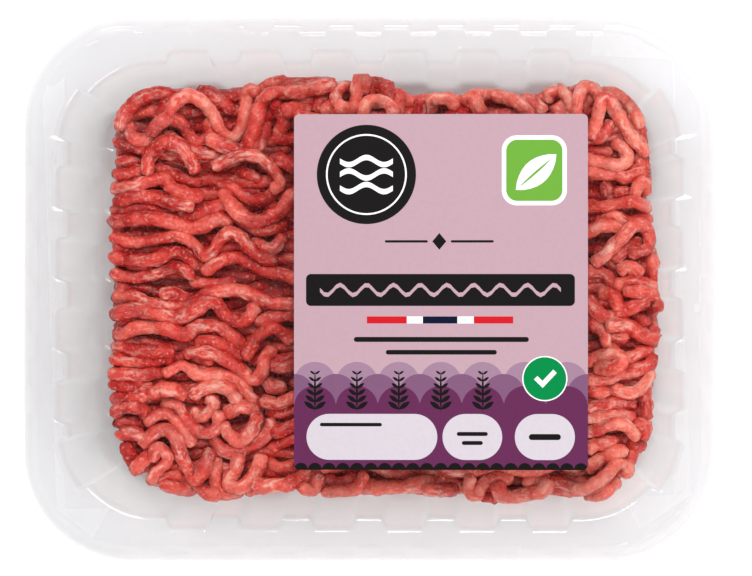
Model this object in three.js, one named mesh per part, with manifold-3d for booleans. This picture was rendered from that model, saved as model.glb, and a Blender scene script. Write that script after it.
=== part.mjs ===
// Meat tray pack: a clear tray with a sealed film lid, minced meat inside and a label on the film.
// Millimetres, +Z up, origin at the middle of the tray's foot, +X along the long side.
import * as THREE from 'three';
import Module from 'manifold-3d';

// Tray outline and heights
const TRAY_LENGTH = 227;
const TRAY_WIDTH = 178;
const TRAY_HEIGHT = 40;
const RIM_CORNER_RADIUS = 35.5;
const WALL = 0.8;
const TRAY_TOLERANCE = 0.02;

// Turned-down lip of the rim
const LIP_HEIGHT = 5;
const LIP_FLARE = 2.2;
const LIP_EDGE_ROUND = 0.7;
const NOTCH_PITCH = 18;
const NOTCH_HALF = 4.1;
const NOTCH_SLOPE = 0.9;
const NOTCH_DEPTH = 2.1;
const LONG_SIDE_NOTCHES = 9;
const SHORT_SIDE_NOTCHES = 5;
const RIM_CORNER_STEPS = 8;

// Cavity
const CAVITY_LENGTH = 196.7;
const CAVITY_WIDTH = 148.4;
const CAVITY_CORNER_RADIUS = 29;
const DRAFT = 0.11;
const MOUTH_FLARE = 1;
const MOUTH_FLARE_DROP = 1.2;
const MOUTH_KNEE = 0.3;
const FLOOR_RADIUS = 4;
const FLOOR_CURVE = [[0, 1], [0.12, 0.5], [0.5, 0.12], [1, 0]];
const CORNER_ANGLES = [60, 75];

// Flutes in the walls
const FLUTE_PITCH_LONG = 23.6;
const FLUTE_PITCH_SHORT = 23.3;
const FLUTES_LONG = 6;
const FLUTES_SHORT = 4;
const FLUTE_HALF = 7.6;
const FLUTE_BEVEL = 1.7;
const FLUTE_KNEE = { along: 0.4, out: 0.6 };
const FLUTE_DEPTH = 3.8;
const FLUTE_DEPTH_AT_FLOOR = 2.2;
const SHORT_SIDE_SHIFT = 1.8;
const CORNER_POCKET_DEPTH = 3.3;
const CORNER_POCKET_ANGLES = [6, 9, 19, 29, 38, 41];

// Film lid and label
const FILM_INSET = 5.2;
const FILM_THICKNESS = 0.3;
const LABEL_SIZE = [95.8, 116];
const LABEL_CENTRE = [23.65, -0.9];
const LABEL_CORNER_RADIUS = 1.7;
const LABEL_THICKNESS = 0.25;
const SHEET_CORNER_STEPS = 6;

// Minced meat
const MEAT_GAP = 0.35;
const CORE_TOP = 22.2;
const CORE_SHOULDER = 16;
const CORE_LEFT = -85.8;
const CORE_RIGHT = 92.6;
const CORE_HALF_WIDTH = 69.3;
const CORE_CORNER_RADIUS = 19;
const CORE_FOOT_INSET = 2.2;
const CORE_TOP_INSET = 1.6;
const CORE_CORNER_STEPS = 4;
const STRAND_RADIUS = 2.45;
const STRAND_SIDES = 5;
const STRAND_LEVEL_BASE = 20.9;
const STRAND_LEVEL_STEP = 1.35;
const STRAND_HEIGHT_SPREAD = 0.5;
const STRAND_SIZE_SPREAD = 0.06;
const STRAND_END_SHARE = 0.725;
const ROW_FIELD = { left: -24, right: 70, top: 60, bottom: -62 };
const ROW_PITCH = 12;
const ROW_POINTS = 5;
const ROW_WAVE = 1.6;
const ROW_GAP = 4;
const ROW_LEVELS = [0.4, 1.2];
const SIDE_STRAND_LEVELS = [6.4, 13.2];
const SIDE_STRAND_COUNT = 11;
const SIDE_STRAND_POINTS = 4;
const SIDE_STRAND_SHARE = 0.86;
const SIDE_STRAND_OUTSET = 0.4;
const SIDE_STRAND_INWARD_SPREAD = 1;
const SIDE_STRAND_HEIGHT_SPREAD = 1.3;
const SIDE_LOOP_TENSION = 0.1;
const MERGE_TOLERANCE = 0.1;
const SEED = 20641;

// Plain colours, roughness and opacity of the four pieces
const LOOKS = {
  tray: { colour: 0xe4e5e8, roughness: 0.25, opacity: 0.6 },
  mince: { colour: 0xb8493f, roughness: 0.35, opacity: 1 },
  lid_film: { colour: 0xf4f6f8, roughness: 0.1, opacity: 0.2 },
  label: { colour: 0xd0acb8, roughness: 0.45, opacity: 1 },
};

// Strands that lie on top where the label leaves the meat in sight.
// Each row holds a stacking level and then the x and y of the points of its path.
const TOP_STRANDS = [
  [2, -84.1, 54.7, -80.8, 62.7, -71.1, 66.2, -67.4, 64.4, -70.7, 56.8],
  [3, -67.1, 58.4, -61.7, 65.1, -57.9, 64.2, -48.2, 50.9, -43.6, 55, -41.5, 67.2, -38.7, 66.1],
  [3, -54.2, 50, -44.1, 46.7, -40.6, 49.2, -36.5, 62.4, -33.1, 65.3, -13.2, 68.4],
  [2, -73.5, 51.8, -67.6, 57, -64.3, 56, -58.7, 49.7, -55.5, 50.3, -54.4, 56.4],
  [1, -69.2, 51.9, -61.3, 47.3, -50.5, 44.9],
  [2, -74.9, 39.2, -71.8, 47, -67.8, 48.9, -63.4, 47.4, -58.9, 40.1],
  [3, -51.8, 41.7, -40.8, 45, -35.9, 43.3, -30.6, 35.8, -32.3, 34],
  [2, -51, 35, -39.1, 29.9, -33, 32.5],
  [2, -50.2, 31.9, -42.6, 24.2, -37.4, 22.5, -32.4, 24.8, -26.3, 31.7],
  [1, -85.2, 33.3, -69.8, 36.8, -63.4, 31.8, -57.7, 31.6],
  [1, -85.4, 29.6, -72.2, 30.5, -60.4, 27.7],
  [1, -85.3, 22.9, -73.9, 23.4, -62.1, 20.8, -51.2, 23.4, -47.5, 22.5],
  [2, -87.5, 17.4, -75.3, 15.9, -64.4, 17.8, -56.7, 11.4, -46.8, 19.1, -36.6, 10.7, -32.4, 9.9],
  [1, -88.6, 11.4, -76.4, 9.8, -66.3, 12.3, -62.1, 11.4, -59.4, 8.1],
  [1, -86.9, 5.6, -80.6, 4.2, -62.9, 7.2, -60.3, 4.7],
  [1, -55.4, 6.4, -46.2, 10.6, -24.3, 3.2],
  [1, -37.1, 67.7, -29.4, 70.4, -13.8, 69],
  [2, -87.5, -2.8, -65.3, -6, -51, -0.3, -44.3, -0.3, -26.3, -5.2],
  [2, -87.7, -8.9, -77, -6.8, -65.3, -9.7, -55.2, -4.5, -45, -10.7, -40.8, -9.4, -39.1, -5.8],
  [2, -84.5, -15.6, -74.5, -12.3, -62.7, -14.8, -55.2, -12.3, -50.2, -13.6, -42.2, -19.8],
  [2, -62.3, -21.3, -51.9, -21.9, -39.1, -30.3, -34.1, -20.4],
  [2, -42, -22.1, -34.1, -13.2, -26.9, -17.1],
  [2, -68.8, -28, -64.4, -25.4, -57.5, -29.1, -47.7, -28.8, -40, -37.5],
  [2, -69.6, -37.8, -66.1, -38.9, -60.1, -46.4, -56, -48.7, -52, -46.4, -50.8, -42.2],
  [2, -75.5, -44.7, -71.1, -42.2, -66.9, -43, -59.9, -51.6],
  [1, -53, -50.7, -50.4, -54, -41.1, -53.2, -33.4, -46.5, -34.4, -44.5],
  [2, -76.1, -51.4, -68.6, -47.1, -65.1, -50.6, -61.2, -62.1, -58.4, -63.8, -54.2, -54.6],
  [2, -73.2, -56.4, -72, -53.1, -69.3, -53.8, -68.4, -57.3, -74.5, -65.5],
  [1, -44.3, -56.4, -47.8, -65, -44.5, -66.5, -41, -64.8, -36.8, -56.4],
  [1, -37.9, -65, -32.7, -66.5, -21, -61.8],
  [2, 76.2, 65, 80.5, 66.4, 85.6, 65.2, 91.1, 58.3, 90.6, 55],
  [3, 73.3, 50.9, 78.1, 64.2, 92.6, 45.7],
  [2, 72.2, 43.6, 82.2, 41.7, 85.7, 43.4, 82.2, 49.3],
  [1, 72.6, 40.2, 84.8, 37.6, 93.2, 39.1, 94.2, 35.8],
  [2, 72.2, 28.2, 92.9, 27.7],
  [1, 76, 23.2, 80.6, 25, 85.8, 22.9, 93.9, 24],
  [2, 74.5, 9.1, 88.1, 20.8, 91.6, 20.8, 93.3, 16.6, 91.4, 12.8, 87.1, 11.9],
  [2, 72.2, -3.5, 75.5, -7.7, 79.7, -9.5, 91.8, -4.2],
  [2, 72.2, -23.8, 81.4, -21.9, 83.7, -23.8, 81.4, -25.8, 75.9, -26.3],
  [2, 68, -66.8, 74.7, -64.7, 83, -58.1, 88.2, -64],
  [2, -10.3, 59.9, -6.8, 60, -4.9, 63.4, -3.6, 72.3, -2.8, 66],
  [2, 36.1, 58.7, 34.6, 65.4, 36.9, 66.4, 46.2, 63.6, 53, 58.7],
  [2, 59.2, 63.2, 61.5, 70.7, 66.6, 59.3],
  [1, -15.7, -68, -11.6, -70.2, -7.5, -69.2, -1.8, -62.2],
  [2, 42, -65.5, 43.6, -68.5, 48.2, -70.1, 53.6, -69.4, 59, -64.7],
  [1, 60.3, -64.5, 69, -66.5, 75.1, -65.8, 78.4, -63.1],
];

// A closed skin over a stack of rings with equal point counts
function loft(rings, footFaces, topFaces) {
  const count = rings[0].length;
  const positions = rings.flat(2);
  const faces = [];
  for (let r = 0; r < rings.length - 1; r += 1) {
    for (let i = 0; i < count; i += 1) {
      const next = (i + 1) % count;
      const low = r * count;
      const high = low + count;
      faces.push(low + i, low + next, high + next);
      faces.push(low + i, high + next, high + i);
    }
  }
  const top = (rings.length - 1) * count;
  for (const [a, b, c] of footFaces) {
    faces.push(c, b, a);
  }
  for (const [a, b, c] of topFaces) {
    faces.push(top + a, top + b, top + c);
  }
  return { positions, faces };
}

function fanFaces(count) {
  const faces = [];
  for (let i = 1; i < count - 1; i += 1) {
    faces.push([0, i, i + 1]);
  }
  return faces;
}

function flatFaces(ring) {
  const contour = ring.map(([x, y]) => new THREE.Vector2(x, y));
  return THREE.ShapeUtils.triangulateShape(contour, []);
}

function stack(outlines) {
  const rings = outlines.map(({ z, points }) => points.map(([x, y]) => [x, y, z]));
  return loft(rings, flatFaces(rings[0]), flatFaces(rings[rings.length - 1]));
}

const wasm = await Module();
wasm.setup();

function solid({ positions, faces }) {
  const mesh = new wasm.Mesh({
    numProp: 3,
    vertProperties: new Float32Array(positions),
    triVerts: new Uint32Array(faces),
  });
  return new wasm.Manifold(mesh);
}

function toGeometry(body) {
  const mesh = body.getMesh();
  const geometry = new THREE.BufferGeometry();
  geometry.setAttribute('position', new THREE.BufferAttribute(mesh.vertProperties, 3));
  geometry.setIndex(new THREE.BufferAttribute(mesh.triVerts, 1));
  return geometry;
}

function centredPositions(count, pitch) {
  return Array.from({ length: count }, (_, i) => (i - (count - 1) / 2) * pitch);
}

// A rounded rectangle as four sides, each followed by its corner. Every point keeps its outward normal.
// sideStops gives the stations along a side and cornerStops the stations round a corner, with an
// outward step at each of them.
function sidedOutline(halfX, halfY, radius, sideStops, cornerStops) {
  const points = [];
  const straightX = halfX - radius;
  const straightY = halfY - radius;
  const sides = [
    { normal: [1, 0], centre: [straightX, straightY] },
    { normal: [0, 1], centre: [-straightX, straightY] },
    { normal: [-1, 0], centre: [-straightX, -straightY] },
    { normal: [0, -1], centre: [straightX, -straightY] },
  ];
  sides.forEach(({ normal: [nx, ny], centre: [cx, cy] }, index) => {
    const reach = nx === 0 ? halfY : halfX;
    for (const { along, step } of sideStops(index)) {
      points.push([nx * (reach + step) - ny * along, ny * (reach + step) + nx * along]);
    }
    for (const { angle, step } of cornerStops(index)) {
      const turn = Math.atan2(ny, nx) + THREE.MathUtils.degToRad(angle);
      points.push([
        cx + (radius + step) * Math.cos(turn),
        cy + (radius + step) * Math.sin(turn),
      ]);
    }
  });
  return points;
}

function isShortSide(index) {
  return index % 2 === 0;
}

// Cavity outline at one level: `grow` moves the whole of it outwards
function cavityOutline(drop, grow, fluteDepth) {
  const offset = grow - drop * DRAFT;
  const share = fluteDepth / FLUTE_DEPTH;
  const half = FLUTE_HALF + Math.max(grow, 0);
  const sideStops = (index) => {
    const short = isShortSide(index);
    const centres = centredPositions(
      short ? FLUTES_SHORT : FLUTES_LONG,
      short ? FLUTE_PITCH_SHORT : FLUTE_PITCH_LONG,
    );
    return centres.flatMap((centre) => {
      const middle = centre + (short ? SHORT_SIDE_SHIFT : 0);
      return [
        { along: middle - half, step: 0 },
        { along: middle - half + FLUTE_BEVEL * FLUTE_KNEE.along, step: fluteDepth * FLUTE_KNEE.out },
        { along: middle - half + FLUTE_BEVEL, step: fluteDepth },
        { along: middle + half - FLUTE_BEVEL, step: fluteDepth },
        { along: middle + half - FLUTE_BEVEL * FLUTE_KNEE.along, step: fluteDepth * FLUTE_KNEE.out },
        { along: middle + half, step: 0 },
      ];
    });
  };
  const cornerStops = (index) => {
    const last = CORNER_POCKET_ANGLES.length - 1;
    const pocket = CORNER_POCKET_ANGLES.map((angle, i) => ({
      angle: isShortSide(index) ? angle : 90 - angle,
      step: i === 0 || i === last ? 0 : CORNER_POCKET_DEPTH * share,
    }));
    const plain = CORNER_ANGLES.map((angle) => ({
      angle: isShortSide(index) ? angle : 90 - angle,
      step: 0,
    }));
    return [...pocket, ...plain].sort((a, b) => a.angle - b.angle);
  };
  return sidedOutline(
    CAVITY_LENGTH / 2 + offset,
    CAVITY_WIDTH / 2 + offset,
    CAVITY_CORNER_RADIUS + offset,
    sideStops,
    cornerStops,
  );
}

// Rings of the cavity skin from its floor level up to the mouth. `skin` is the distance outside the
// inner face, so that one rule draws the inner face, the outer face and the room left for the meat.
function cavityRings(skin, floor) {
  const depthAt = (z) => THREE.MathUtils.mapLinear(
    z,
    0,
    TRAY_HEIGHT,
    FLUTE_DEPTH_AT_FLOOR,
    FLUTE_DEPTH,
  );
  const level = (z, inset) => ({
    z,
    points: cavityOutline(TRAY_HEIGHT - z, skin - inset, depthAt(z)),
  });
  const fillet = FLOOR_CURVE.map(([rise, inset]) => level(
    floor + FLOOR_RADIUS * rise,
    FLOOR_RADIUS * inset,
  ));
  return [...fillet, level(TRAY_HEIGHT - MOUTH_FLARE_DROP, 0)];
}

function cupOutside() {
  const rings = cavityRings(WALL, 0);
  const lip = cavityOutline(0, WALL + MOUTH_FLARE, FLUTE_DEPTH);
  rings.push({ z: TRAY_HEIGHT - WALL / 2, points: lip });
  return stack(rings);
}

function cupInside() {
  const rings = cavityRings(0, WALL);
  const lip = cavityOutline(0, MOUTH_FLARE * MOUTH_KNEE, FLUTE_DEPTH);
  const mouth = cavityOutline(0, MOUTH_FLARE, FLUTE_DEPTH);
  rings.push({ z: TRAY_HEIGHT - MOUTH_FLARE_DROP * MOUTH_KNEE, points: lip });
  rings.push({ z: TRAY_HEIGHT, points: mouth });
  rings.push({ z: TRAY_HEIGHT + WALL, points: mouth });
  return stack(rings);
}

// Outline of the rim at one inset, with the notches that stiffen its lip
function rimOutline(inset, notchDepth, notchHalf) {
  const sideStops = (index) => {
    const count = isShortSide(index) ? SHORT_SIDE_NOTCHES : LONG_SIDE_NOTCHES;
    return centredPositions(count, NOTCH_PITCH).flatMap((middle) => [
      { along: middle - notchHalf - NOTCH_SLOPE, step: 0 },
      { along: middle - notchHalf, step: -notchDepth },
      { along: middle + notchHalf, step: -notchDepth },
      { along: middle + notchHalf + NOTCH_SLOPE, step: 0 },
    ]);
  };
  const cornerStops = () => Array.from({ length: RIM_CORNER_STEPS + 1 }, (_, i) => ({
    angle: (i * 90) / RIM_CORNER_STEPS,
    step: 0,
  }));
  return sidedOutline(
    TRAY_LENGTH / 2 - inset,
    TRAY_WIDTH / 2 - inset,
    RIM_CORNER_RADIUS - inset,
    sideStops,
    cornerStops,
  );
}

function rimShell() {
  const foot = TRAY_HEIGHT - LIP_HEIGHT;
  const shoulder = TRAY_HEIGHT - LIP_EDGE_ROUND;
  const outer = solid(stack([
    { z: foot, points: rimOutline(0, 0, NOTCH_HALF) },
    { z: shoulder, points: rimOutline(LIP_FLARE, NOTCH_DEPTH, NOTCH_HALF) },
    { z: TRAY_HEIGHT, points: rimOutline(LIP_FLARE + LIP_EDGE_ROUND, NOTCH_DEPTH, NOTCH_HALF) },
  ]));
  const innerHalf = NOTCH_HALF + WALL;
  const inner = solid(stack([
    { z: foot - WALL, points: rimOutline(WALL, 0, innerHalf) },
    { z: foot, points: rimOutline(WALL, 0, innerHalf) },
    { z: TRAY_HEIGHT - WALL, points: rimOutline(LIP_FLARE + WALL, NOTCH_DEPTH, innerHalf) },
  ]));
  return outer.subtract(inner);
}

function trayGeometry() {
  const tray = rimShell().add(solid(cupOutside())).subtract(solid(cupInside()));
  return toGeometry(tray.simplify(TRAY_TOLERANCE));
}

function roundedSheet(halfX, halfY, radius, centre, bottom, thickness) {
  const cornerStops = () => Array.from({ length: SHEET_CORNER_STEPS + 1 }, (_, i) => ({
    angle: (i * 90) / SHEET_CORNER_STEPS,
    step: 0,
  }));
  const points = sidedOutline(halfX, halfY, radius, () => [], cornerStops)
    .map(([x, y]) => [x + centre[0], y + centre[1]]);
  return stack([
    { z: bottom, points },
    { z: bottom + thickness, points },
  ]);
}

function filmGeometry() {
  const film = roundedSheet(
    TRAY_LENGTH / 2 - FILM_INSET,
    TRAY_WIDTH / 2 - FILM_INSET,
    RIM_CORNER_RADIUS - FILM_INSET,
    [0, 0],
    TRAY_HEIGHT,
    FILM_THICKNESS,
  );
  return toGeometry(solid(film));
}

function labelGeometry() {
  const label = roundedSheet(
    LABEL_SIZE[0] / 2,
    LABEL_SIZE[1] / 2,
    LABEL_CORNER_RADIUS,
    LABEL_CENTRE,
    TRAY_HEIGHT + FILM_THICKNESS,
    LABEL_THICKNESS,
  );
  return toGeometry(solid(label));
}

// Repeatable random numbers between 0 and 1
function randomSource(seed) {
  let state = seed;
  return () => {
    state = (state + 0x6d2b79f5) | 0;
    let mixed = Math.imul(state ^ (state >>> 15), 1 | state);
    mixed = (mixed + Math.imul(mixed ^ (mixed >>> 7), 61 | mixed)) ^ mixed;
    return ((mixed ^ (mixed >>> 14)) >>> 0) / 4294967296;
  };
}

// A strand with few sides along a path, cut off blunt at both ends
function strand(path, radius) {
  const up = new THREE.Vector3(0, 0, 1);
  const points = path.map((p) => new THREE.Vector3(...p));
  const last = points.length - 1;
  const rings = points.map((point, i) => {
    const before = points[Math.max(i - 1, 0)];
    const after = points[Math.min(i + 1, last)];
    const along = after.clone().sub(before).normalize();
    const across = new THREE.Vector3().crossVectors(up, along).normalize();
    const lift = new THREE.Vector3().crossVectors(along, across);
    const size = i === 0 || i === last ? radius * STRAND_END_SHARE : radius;
    return Array.from({ length: STRAND_SIDES }, (_, k) => {
      const angle = Math.PI / 2 + (k * 2 * Math.PI) / STRAND_SIDES;
      return point.clone()
        .addScaledVector(across, size * Math.cos(angle))
        .addScaledVector(lift, size * Math.sin(angle))
        .toArray();
    });
  });
  const cap = fanFaces(STRAND_SIDES);
  return solid(loft(rings, cap, cap));
}

function levelHeight(level) {
  return STRAND_LEVEL_BASE + level * STRAND_LEVEL_STEP;
}

function topStrands(random) {
  return TOP_STRANDS.map(([level, ...values]) => {
    const path = [];
    for (let i = 0; i < values.length; i += 2) {
      const height = levelHeight(level) + random() * STRAND_HEIGHT_SPREAD;
      path.push([values[i], values[i + 1], height]);
    }
    return strand(path, STRAND_RADIUS * (1 + (random() - 0.5) * 2 * STRAND_SIZE_SPREAD));
  });
}

// Wavy rows in the middle, which the label covers
function rowStrands(random) {
  const rows = [];
  const middle = (ROW_FIELD.left + ROW_FIELD.right) / 2;
  const halves = [
    [ROW_FIELD.left, middle - ROW_GAP / 2],
    [middle + ROW_GAP / 2, ROW_FIELD.right],
  ];
  for (let y = ROW_FIELD.top; y >= ROW_FIELD.bottom; y -= ROW_PITCH) {
    for (const [from, to] of halves) {
      const path = [];
      for (let i = 0; i < ROW_POINTS; i += 1) {
        const x = THREE.MathUtils.lerp(from, to, i / (ROW_POINTS - 1));
        const wave = (random() - 0.5) * 2 * ROW_WAVE;
        path.push([x, y + wave, levelHeight(THREE.MathUtils.lerp(...ROW_LEVELS, random()))]);
      }
      rows.push(strand(path, STRAND_RADIUS));
    }
  }
  return rows;
}

function coreOutline(inset) {
  const stops = () => Array.from({ length: CORE_CORNER_STEPS + 1 }, (_, i) => ({
    angle: (i * 90) / CORE_CORNER_STEPS,
    step: 0,
  }));
  const centreX = (CORE_LEFT + CORE_RIGHT) / 2;
  const halfLength = (CORE_RIGHT - CORE_LEFT) / 2;
  const outline = sidedOutline(
    halfLength - inset,
    CORE_HALF_WIDTH - inset,
    CORE_CORNER_RADIUS - inset,
    () => [],
    stops,
  );
  return outline.map(([x, y]) => [x + centreX, y]);
}

function coreSolid() {
  return solid(stack([
    { z: WALL, points: coreOutline(CORE_FOOT_INSET) },
    { z: CORE_SHOULDER, points: coreOutline(0) },
    { z: CORE_TOP, points: coreOutline(CORE_TOP_INSET) },
  ]));
}

// Strands pressed along the four sides, at a few heights
function sideStrands(random) {
  const strands = [];
  const loop = new THREE.CatmullRomCurve3(
    coreOutline(-SIDE_STRAND_OUTSET).map(([x, y]) => new THREE.Vector3(x, y, 0)),
    true,
    'catmullrom',
    SIDE_LOOP_TENSION,
  );
  for (const height of SIDE_STRAND_LEVELS) {
    const inset = (CORE_FOOT_INSET * (CORE_SHOULDER - height)) / CORE_SHOULDER;
    const offset = random() / SIDE_STRAND_COUNT;
    for (let n = 0; n < SIDE_STRAND_COUNT; n += 1) {
      const path = [];
      for (let i = 0; i < SIDE_STRAND_POINTS; i += 1) {
        const step = (i / (SIDE_STRAND_POINTS - 1)) * SIDE_STRAND_SHARE;
        const at = loop.getPointAt((offset + (n + step) / SIDE_STRAND_COUNT) % 1);
        const moved = inset + random() * SIDE_STRAND_INWARD_SPREAD;
        const inward = 1 - moved / Math.hypot(at.x, at.y);
        const lift = (random() - 0.5) * 2 * SIDE_STRAND_HEIGHT_SPREAD;
        path.push([at.x * inward, at.y * inward, height + lift]);
      }
      strands.push(strand(path, STRAND_RADIUS));
    }
  }
  return strands;
}

function minceGeometry() {
  const random = randomSource(SEED);
  const pieces = [coreSolid(), ...topStrands(random), ...rowStrands(random), ...sideStrands(random)];
  const room = solid(stack(cavityRings(-MEAT_GAP, WALL)));
  const heap = wasm.Manifold.union(pieces).intersect(room);
  return toGeometry(heap.simplify(MERGE_TOLERANCE));
}

function part(name, geometry) {
  const { colour, roughness, opacity } = LOOKS[name];
  const material = new THREE.MeshStandardMaterial({
    color: colour,
    roughness,
    metalness: 0,
    transparent: opacity < 1,
    opacity,
  });
  const mesh = new THREE.Mesh(geometry, material);
  mesh.name = name;
  return mesh;
}

const pack = new THREE.Group();
pack.name = 'meat_tray_pack';
pack.add(
  part('tray', trayGeometry()),
  part('mince', minceGeometry()),
  part('lid_film', filmGeometry()),
  part('label', labelGeometry()),
);

export default pack;
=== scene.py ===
"""Looks of the meat tray pack: clear fluted tray, film lid, minced meat and a printed label.

Shapes are built in millimetres in the part's own frame and scaled to metres at the end.
"""

import math

import bpy
import numpy as np
from mathutils import Matrix, Vector, geometry


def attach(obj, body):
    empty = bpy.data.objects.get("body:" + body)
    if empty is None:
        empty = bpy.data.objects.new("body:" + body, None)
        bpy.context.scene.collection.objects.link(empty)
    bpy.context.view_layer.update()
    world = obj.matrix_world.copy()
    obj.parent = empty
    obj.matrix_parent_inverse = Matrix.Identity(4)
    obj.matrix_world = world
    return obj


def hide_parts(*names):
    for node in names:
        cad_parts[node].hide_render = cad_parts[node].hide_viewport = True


MM = 0.001

# Tray, in millimetres
RIM_HALF = (113.5, 89.0)
RIM_RADIUS = 35.5
MOUTH_HALF = (98.35, 74.2)
MOUTH_RADIUS = 29.0
HEIGHT = 40.0
SHEET = 0.75
DRAFT = 0.11
FLOOR_RADIUS = 4.0
MOUTH_ROUND = 1.7
LIP_HEIGHT = 5.0
LIP_FLARE = 2.2
NOTCH_PITCH = 18.0
NOTCH_HALF = 4.1
NOTCH_SLOPE = 0.9
NOTCH_DEPTH = 2.1
LONG_SIDE_NOTCHES = 9
SHORT_SIDE_NOTCHES = 5
FLUTES = {"long": (6, 23.6, 0.0), "short": (4, 23.3, 1.8)}
FLUTE_HALF = 7.6
FLUTE_BEVEL = 2.2
FLUTE_DEPTH = 3.8
FLUTE_DEPTH_AT_FLOOR = 2.2
POCKET_DEPTH = 3.3
POCKET_ANGLES = (6.0, 41.0)
POCKET_BLEND = 3.0
RING_STEP = 0.32
RING_TURN = 0.5
RING_ROUNDS = 40
BEND_TURNS = np.radians(np.linspace(0, 90, 5))

# Rings of the rim's lip, down its outside and up its inside. Each has its drop below the rim's top,
# its share of the flare, how much further in it lies, and its share of the notches' depth.
LIP_RINGS = [
    (0.0, 1.0, 1.4, 1.0),
    (0.0, 1.0, 0.75, 1.0),
    (0.18, 1.0, 0.3, 1.0),
    (0.7, 1.0, 0.0, 0.96),
    (2.2, 0.66, 0.0, 0.62),
    (3.7, 0.3, 0.0, 0.2),
    (LIP_HEIGHT - 0.3, 0.0, 0.06, 0.0),
    (LIP_HEIGHT, 0.0, 0.0, 0.0),
    (LIP_HEIGHT, 0.0, SHEET * 0.9, 0.0),
    (3.7, 0.3, SHEET, 0.2),
    (2.2, 0.66, SHEET, 0.62),
    (SHEET + 0.5, 1.0, SHEET, 0.96),
    (SHEET, 1.0, SHEET + 0.5, 1.0),
    (SHEET, 1.0, SHEET + 1.4, 1.0),
]

# Film and label
FILM_INSET = 5.2
FILM_THICKNESS = 0.3
LABEL_CENTRE = (23.65, -0.9)
LABEL_HALF = (47.9, 58.0)
LABEL_RADIUS = 1.7
LABEL_THICKNESS = 0.25

# Print is laid out from the label's top left corner, x to the right and y down, in units of one
# 294th of the label's width.
LABEL_UNITS = 294.0
INKS = {
    "mauve": (188, 156, 167),
    "haze": (158, 125, 148),
    "dusk": (125, 86, 118),
    "violet": (98, 42, 82),
    "black": (22, 20, 20),
    "pale": (206, 197, 205),
    "white": (248, 246, 247),
    "green": (108, 168, 60),
    "jade": (0, 133, 68),
    "red": (204, 27, 38),
    "navy": (9, 20, 48),
}

# Meat
SEED = 20641
STRAND_RADIUS = 2.25
SQUASH = 0.84
PILE_TOP = 14.6
PILE_CORNER = (-106.0, -82.0)
PILE_SIZE = (212.0, 164.0)
CELL = 0.6
EDGE_STEP = 0.5
OFF_WALL = 0.3
OFF_FLOOR = 0.06
BED_ROWS = np.arange(-64.8, 65, 4.63)
LABEL_ROWS = np.arange(-60, 61, 5.1)
FOOT_ROWS = np.arange(-66.5, 67, 4.55)
SHORTEST_ROW = 12

# Strands that end this near the heap's edge, and head out of it at least so much, hang down over
# it, all but a share of them.
HANG_REACH = 3.0
HANG_HEADING = 0.45
HANG_SPARED = 0.35
HANG_DROP = (6, 15)

# Share of the top strands' ends that dip under their neighbours, how deep, and over what length
TUCK_SHARE = 0.75
TUCK_DEPTH = (0.8, 2.4)
TUCK_LENGTH = 5.0

# Side layers and the core: height of each level and how far it lies inside the heap's edge
SIDE_LEVELS = [(3.3, 3.6), (7.5, 2.2), (11.7, 1.0), (15.4, 1.0)]
CORE_LEVELS = [(2.0, 4.6), (9.0, 3.0), (15.2, 1.8), (16.6, 3.2)]

# Edges of the heap painted paler, painted light where the label's shadow and the lamps leave the meat
# darker: axis, direction, distance from the middle, and how much
PAINTED_LIGHT_EDGES = [(0, 1, 62, 0.2), (1, -1, 56, 0.35), (1, 1, 57, 0.22)]

# How a strand's end is rounded off: reach beyond the end and size, both in radii
TIP = [(0.42, 0.72), (0.62, 0.12)]

# Distance in the grain pattern from one strand to the next
GRAIN_SHIFT = 97.3

# Colours of the meat; the dark end of the lean ramp also serves as painted shade for strands lying deep
# in the heap
LEAN = [(0.0, (118, 2, 3)), (0.25, (178, 17, 14)), (0.5, (216, 58, 45)), (0.75, (238, 106, 88)),
        (1.0, (250, 160, 138))]
AGED = (176, 92, 84)
FAT = (248, 196, 178)
# Pale flecks: partly fat, partly painted glints of wet shine
FLECK_AND_GLINT = (252, 206, 190)

# Clear plastic: share of milky body, of light glowing through it, and of shine at a grazing look
TRAY_COVER = 0.2
TRAY_GLOW = 0.6
TRAY_EDGE = 0.14
FILM_EDGE = 0.5
SHEEN_POWER = 4.0

# Lights: name, place and size in metres, and power in watts
LIGHTS = [
    ("key", (0.1, 0.48, 0.95), (0.46, 0.34), 4.5),
    ("spark", (-0.3, 0.55, 0.85), (0.14, 0.12), 1.5),
    ("side", (0.45, -0.6, 0.6), (0.7, 0.4), 4.0),
]
LIGHT_AIM = (0, 0, 0.02)
WORLD_STRENGTH = 0.6
FLOOR_HALF = 2500
FLOOR_GAP = 0.1

CAMERA_LENS = 105.7
CAMERA_AT = (39.5, -1.0, 760.0)
CAMERA_AIM = (27.03, 0.39, 40.0)
CAMERA_SHIFT = -0.1

# The heap's edge seen from above, from its right upper corner on to the left
HEAP_EDGE = [
    (93, 48), (90.5, 59), (84, 66.5), (73, 69.5), (62, 68.5), (51, 65), (41, 67), (28, 65.5),
    (14, 65.5), (6, 69.5), (-2, 72.5), (-12, 70.5), (-28, 72), (-41, 69.5), (-55, 68), (-68, 68.5),
    (-80, 64.5), (-86, 54), (-87, 39), (-89, 22), (-88, 5), (-87.5, -14), (-88.5, -30), (-86, -48),
    (-80, -61), (-68, -68), (-56, -70.5), (-43, -69.5), (-30, -67), (-16, -69.5), (8, -68),
    (28, -69.5), (43, -72), (60, -69), (73, -71), (82, -67), (88.5, -60), (93.5, -48), (95, -30),
    (97.5, -13), (97, 2), (95, 16), (93.5, 33),
]
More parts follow.
